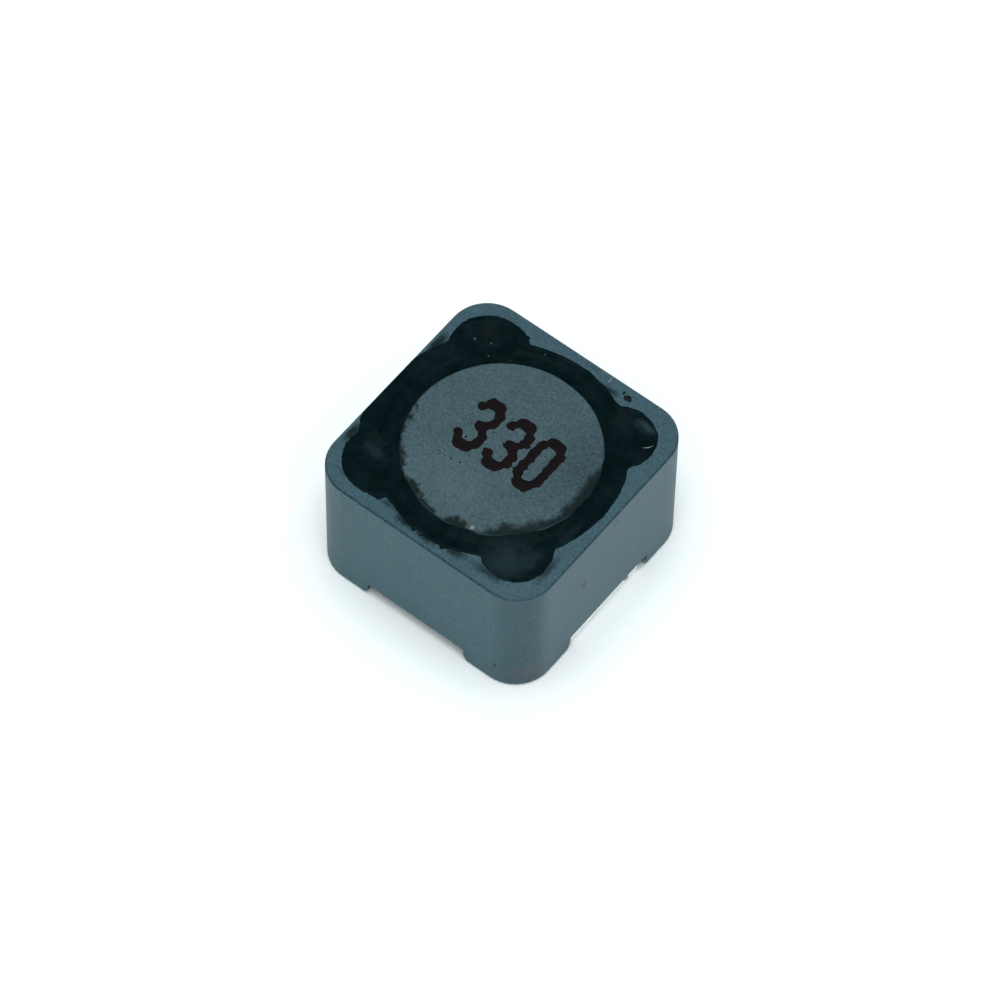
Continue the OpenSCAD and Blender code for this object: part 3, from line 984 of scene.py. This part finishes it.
# %% Value mark
DIGITS = {
    "3": (".###.", "#...#", "....#", "..##.", "....#", "#...#", ".###."),
    "0": (".###.", "#...#", "#...#", "#...#", "#...#", "#...#", ".###."),
}
MARK = "330"
MARK_LOW = (-2.04, -0.95)
DOT_X = 0.25
DOT_Y = 0.425
DIGIT_PITCH = 1.66
DROP_R = 0.356


def mark_dots():
    """Middle of every drop of ink, in millimetres."""
    for k, digit in enumerate(MARK):
        for row, line in enumerate(DIGITS[digit]):
            for column, dot in enumerate(line):
                if dot == "#":
                    across = MARK_LOW[0] + k * DIGIT_PITCH + column * DOT_X
                    yield across, MARK_LOW[1] + (6 - row) * DOT_Y


def ink_field(x, y):
    """Above zero where the soft hills of the drops add up to a stroke."""
    total = np.zeros_like(x)
    for dx, dy in mark_dots():
        total += np.exp(-((x - dx) ** 2 + (y - dy) ** 2) / (0.45 * DROP_R * DROP_R))
    total += 0.13 * ripple(x, y, 0.17, 21) + 0.08 * ripple(x, y, 0.08, 22)
    return total - 0.42


def ink_height(x, y):
    """Ink lies a few thousandths of a millimetre thick, thinner at its edge."""
    edge = np.clip(ink_field(x, y) / 0.5, 0, 1)
    return drum_top + 0.003 + 0.006 * edge


ink = sheet("value_mark", ink_field, ink_height, (-2.7, -1.6), (2.9, 2.1), 0.03)

# %% [markdown]
# The ink is a brownish black, thicker in some drops than in others, and matt.

# %% Material: ink
ink_paint, tree, shader = finish("jet_ink", IOR=1.45, Specular_IOR_Level=0.1)
place = use(tree, place_group).outputs["Place"]
cloud = fuzz(tree, place, 3.0, 3.0, 0.6)
thick = (0.0032, 0.0022, 0.0030)
thin = (0.0062, 0.0024, 0.0028)
colour = blend(tree, steps(tree, cloud, 0.4, 0.65), thick, thin)
rough = calc(tree, "ADD", calc(tree, "MULTIPLY", cloud, 0.25), 0.42)
bump = bumped(tree, fuzz(tree, place, 12.0), 0.3, 0.02)
wire(tree, shader, Base_Color=colour, Roughness=rough, Normal=bump)
ink.data.materials.append(ink_paint)
print("ink finish:", ink_paint.name)

# %% [markdown]
# Ink jets spit: tiny stray drops lie round the digits, most of them below and to the left.
# Random numbers from a seeded generator place them, so they fall the same way each time.

# %% Stray drops
STRAY_DROPS = 38
DROP_LIFT = 0.002


def spatter_field(x, y):
    """Above zero inside each stray drop; a few are larger, and none lies near the rim."""
    rng = np.random.default_rng(5)
    total = np.full_like(x, -1.0)
    for _ in range(STRAY_DROPS):
        dx, dy = rng.normal(-0.9, 1.0), rng.normal(-0.9, 0.7)
        size = rng.uniform(0.015, 0.04) * (1.5 if rng.random() < 0.12 else 1)
        if math.hypot(dx, dy) < flange_r - 0.5:
            total = np.maximum(total, size - np.hypot(x - dx, y - dy))
    return total


def spatter_height(x, y):
    """Just above the drum's top."""
    return np.full_like(x, drum_top + DROP_LIFT)


spatter = sheet("stray_drops", spatter_field, spatter_height, (-3.9, -3.6), (3.9, 2.2), 0.02)
spatter.data.materials.append(ink_paint)

# %% [markdown]
# ## The floor
# A white table. For light that bounces it is a plain white surface, so the walls of the part
# get light from below. Seen directly it is a brighter, slightly bluish white: away from the
# part it comes out as pure white, and the shadow, which takes the red first, stays as a soft
# bluish pool round the body. Camera rays, and rays mirrored or bent by the part, see that one.

# %% Floor
TABLE_HALF = 2.0
corners = [(x * TABLE_HALF, y * TABLE_HALF, 0) for x, y in ((-1, -1), (1, -1), (1, 1), (-1, 1))]
mesh = bpy.data.meshes.new("table")
mesh.from_pydata(corners, [], [(0, 1, 2, 3)])
table = bpy.data.objects.new("table", mesh)
table.location.z = -0.00001
bpy.context.scene.collection.objects.link(table)
table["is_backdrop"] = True

paper = bpy.data.materials.new("white_table")
paper.use_nodes = True
tree = paper.node_tree
tree.nodes.clear()
bounce = put(tree, "ShaderNodeBsdfDiffuse", {"Color": (0.86, 0.88, 0.88, 1)}).outputs[0]
seen = put(tree, "ShaderNodeBsdfDiffuse", {"Color": (1.10, 1.19, 1.20, 1)}).outputs[0]
path = put(tree, "ShaderNodeLightPath")
direct = path.outputs["Is Camera Ray"]
for ray in ("Is Glossy Ray", "Is Transmission Ray"):
    direct = calc(tree, "MAXIMUM", direct, path.outputs[ray])
both = put(tree, "ShaderNodeMixShader", {0: direct, 1: bounce, 2: seen}).outputs[0]
put(tree, "ShaderNodeOutputMaterial", {"Surface": both})
mesh.materials.append(paper)
print("table:", 2 * TABLE_HALF, "m wide")

# %% [markdown]
# ## Finish
# Last, the box round everything shown is measured again and printed next to the box of the bare
# construction: the dressed part should not have grown.

# %% Sizes and finish
visual_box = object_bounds()
for label, box in (("construction", cad_box), ("dressed part", visual_box)):
    print(label, [round((b - a) / MM, 3) for a, b in zip(*box)], "mm")
